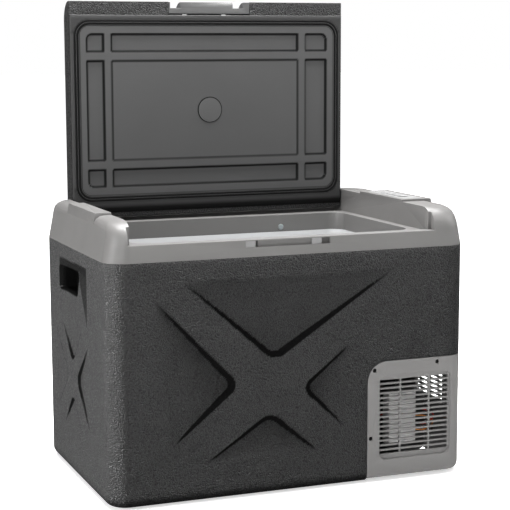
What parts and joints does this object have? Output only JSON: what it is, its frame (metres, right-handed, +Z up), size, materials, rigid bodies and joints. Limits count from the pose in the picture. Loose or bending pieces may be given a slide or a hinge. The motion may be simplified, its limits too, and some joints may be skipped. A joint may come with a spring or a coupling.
{
  "type": "compressor cooler fridge",
  "caption": "Portable compressor cooler: deep insulated chest with a rear-hinged lid standing open, latch bar, top keys, side grips and a corner vent over the machinery.",
  "frame": {"origin": "centre of the footprint on the ground, under the closed cabinet", "axes": "+X right along the front, +Y to the back (hinge side), +Z up"},
  "size_m": [0.69, 0.442, 0.882],
  "materials": {
    "shell_plastic": "pebble-grained moulded polypropylene, semi-matt",
    "grey_plastic": "warm grey moulded ABS, fine satin grain",
    "black_plastic": "black moulded plastic",
    "pale_plastic": "pale grey moulded plastic",
    "panel_plastic": "smooth charcoal plastic",
    "liner_plastic": "white liner plastic",
    "foam": "rigid insulation foam",
    "rubber": "soft black elastomer",
    "steel": "zinc plated steel",
    "bright_steel": "bright pressed steel",
    "black_steel": "black oxide screw",
    "aluminium": "mill-finish aluminium",
    "copper_tube": "copper tube",
    "cable": "sleeved cable bundle",
    "display": "smoked display window",
    "board": "circuit board",
    "lens": "frosted lamp lens"
  },
  "bodies": {
    "cabinet": {"outer_shell": "shell_plastic", "handle_cup_left": "black_plastic", "handle_cup_right": "black_plastic", "top_frame": "grey_plastic", "hinge_pins": "steel", "latch_keepers": "pale_plastic", "inner_liner": "liner_plastic", "evaporator_plate": "aluminium", "evaporator_tube": "copper_tube", "temperature_sensor": "black_plastic", "insulation_foam": "foam", "machine_bay_partition": "black_plastic", "machine_tray": "steel", "feet": "rubber", "compressor": "bright_steel", "compressor_terminal_cover": "black_plastic", "compressor_grommets": "rubber", "control_module": "aluminium", "module_heat_sink": "aluminium", "condenser_fins": "aluminium", "condenser_tube": "copper_tube", "fan_shroud": "black_plastic", "filter_drier": "copper_tube", "copper_pipes": "copper_tube", "wiring_loom": "cable", "dc_inlet": "black_plastic", "ac_inlet": "black_plastic", "vent_cover": "grey_plastic", "vent_cover_screws": "black_steel", "control_panel": "grey_plastic", "display_window": "display", "control_board": "board", "lamp_lens": "lens", "lamp_housing": "pale_plastic"},
    "lid": {"lid_outer_shell": "shell_plastic", "lid_inner_panel": "panel_plastic", "lid_gasket": "rubber", "lid_centre_cap": "panel_plastic", "lid_foam": "foam", "latch_pin": "steel", "latch_springs": "steel"},
    "latch": {"latch_bar": "grey_plastic"},
    "fan": {"fan_rotor": "black_plastic"},
    "power_key": {"button_power": "grey_plastic"},
    "set_key": {"button_set": "grey_plastic"},
    "up_key": {"button_up": "grey_plastic"},
    "down_key": {"button_down": "grey_plastic"}
  },
  "joints": [
    {"name": "lid_hinge", "type": "hinge", "parent": "cabinet", "child": "lid", "pos_m": [0, 0.18825, 0.47575], "axis": [1, 0, 0], "range_deg": [0, 90]},
    {"name": "latch_pivot", "type": "hinge", "parent": "lid", "child": "latch", "pos_m": [0, 0.2065, 0.8623], "axis": [-1, 0, 0], "range_deg": [0, 20], "stiffness_Nm_per_rad": 0.6, "springref_deg": -17.19},
    {"name": "fan_spin", "type": "hinge", "parent": "cabinet", "child": "fan", "pos_m": [0.24, 0.131, 0.11], "axis": [0, 1, 0], "continuous": true},
    {"name": "power_press", "type": "slide", "parent": "cabinet", "child": "power_key", "axis": [0, 0, -1], "range_m": [0, 0.0008], "stiffness_N_per_m": 400},
    {"name": "set_press", "type": "slide", "parent": "cabinet", "child": "set_key", "axis": [0, 0, -1], "range_m": [0, 0.0008], "stiffness_N_per_m": 400},
    {"name": "up_press", "type": "slide", "parent": "cabinet", "child": "up_key", "axis": [0, 0, -1], "range_m": [0, 0.0008], "stiffness_N_per_m": 400},
    {"name": "down_press", "type": "slide", "parent": "cabinet", "child": "down_key", "axis": [0, 0, -1], "range_m": [0, 0.0008], "stiffness_N_per_m": 400}
  ]
}
